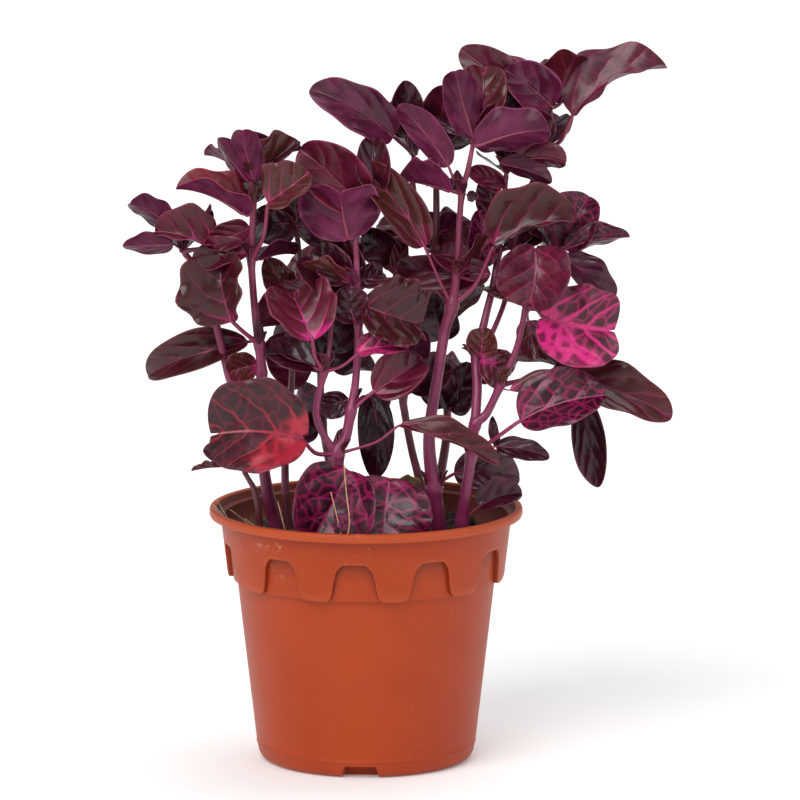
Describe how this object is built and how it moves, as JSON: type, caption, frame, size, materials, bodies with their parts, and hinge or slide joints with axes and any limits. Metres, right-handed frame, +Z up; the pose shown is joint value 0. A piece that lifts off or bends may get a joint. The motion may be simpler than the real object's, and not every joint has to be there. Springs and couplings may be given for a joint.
{
  "type": "potted bloodleaf plant",
  "caption": "Bloodleaf houseplant with dark crimson leaves and magenta stems in a plain round terracotta-coloured nursery pot.",
  "frame": {"origin": "on the ground, at the bottom centre of the whole plant's box; the pot's axis stands 11.6 mm to -X of it", "axes": "+Z up along the pot's axis; the plant's front faces -Y, with +X to the right seen from the front"},
  "size_m": [0.2054, 0.12, 0.2727],
  "materials": {
    "terracotta_plastic": "satin moulded polypropylene",
    "potting_soil": "moist fibrous peat mix",
    "magenta_stem": "juicy, satin skin",
    "brown_stem": "juicy, satin skin",
    "dark_leaf": "satin, quilted between the veins",
    "wine_leaf": "satin, quilted between the veins",
    "plum_leaf": "satin underside with raised veins",
    "veined_leaf": "satin with pink veins",
    "pink_leaf": "satin with dark blotches",
    "coral_leaf": "satin with coral veins",
    "olive_leaf": "satin with pink veins"
  },
  "bodies": {
    "root": {"stem_left": "magenta_stem", "stem_left_back": "brown_stem", "stem_front": "magenta_stem", "stem_middle": "brown_stem", "stem_back": "brown_stem", "stem_main": "magenta_stem", "stem_right": "magenta_stem", "stem_small": "brown_stem", "stem_rear_left": "brown_stem", "stem_rear_right": "brown_stem", "pot": "terracotta_plastic", "pot_floor": "terracotta_plastic", "soil": "potting_soil", "leaves_far_left_tip": "plum_leaf", "leaves_left_tip": "plum_leaf", "leaves_left_high": "wine_leaf", "leaves_left_middle": "wine_leaf", "leaves_left_low": "veined_leaf", "leaf_left_cup": "olive_leaf", "leaves_left_back_tip": "dark_leaf", "leaves_left_back": "dark_leaf", "leaves_front_left": "pink_leaf", "leaf_front_left_top": "dark_leaf", "leaves_front_middle": "dark_leaf", "leaves_front_high": "dark_leaf", "leaves_front_tip": "wine_leaf", "leaves_front_low": "wine_leaf", "leaves_front_fork": "coral_leaf", "leaves_pot_front": "veined_leaf", "leaves_small_shoot": "dark_leaf", "leaves_middle_low": "dark_leaf", "leaves_middle_high": "plum_leaf", "leaves_middle_tip": "wine_leaf", "leaves_back_tip": "plum_leaf", "leaves_back_middle": "dark_leaf", "leaf_back_hanging": "dark_leaf", "leaves_main_left": "olive_leaf", "leaves_main_right": "wine_leaf", "leaves_main_high": "plum_leaf", "leaves_main_tip": "plum_leaf", "leaves_right_node": "pink_leaf", "leaf_right_round": "veined_leaf", "leaves_right_tip": "plum_leaf", "leaves_right_low": "veined_leaf", "leaves_right_branch": "plum_leaf", "leaves_right_fork": "olive_leaf", "leaves_upper_right": "veined_leaf", "leaves_upper_right_tip": "wine_leaf", "leaves_inner_right_tip": "dark_leaf", "leaf_inner_right": "wine_leaf", "leaves_pot_right": "dark_leaf", "leaf_pot_rim": "dark_leaf", "leaves_rear_left_low": "dark_leaf", "leaves_rear_left_middle": "dark_leaf", "leaves_rear_left_tip": "dark_leaf", "leaves_rear_right_low": "dark_leaf", "leaves_rear_right_tip": "dark_leaf"}
  },
  "joints": []
}
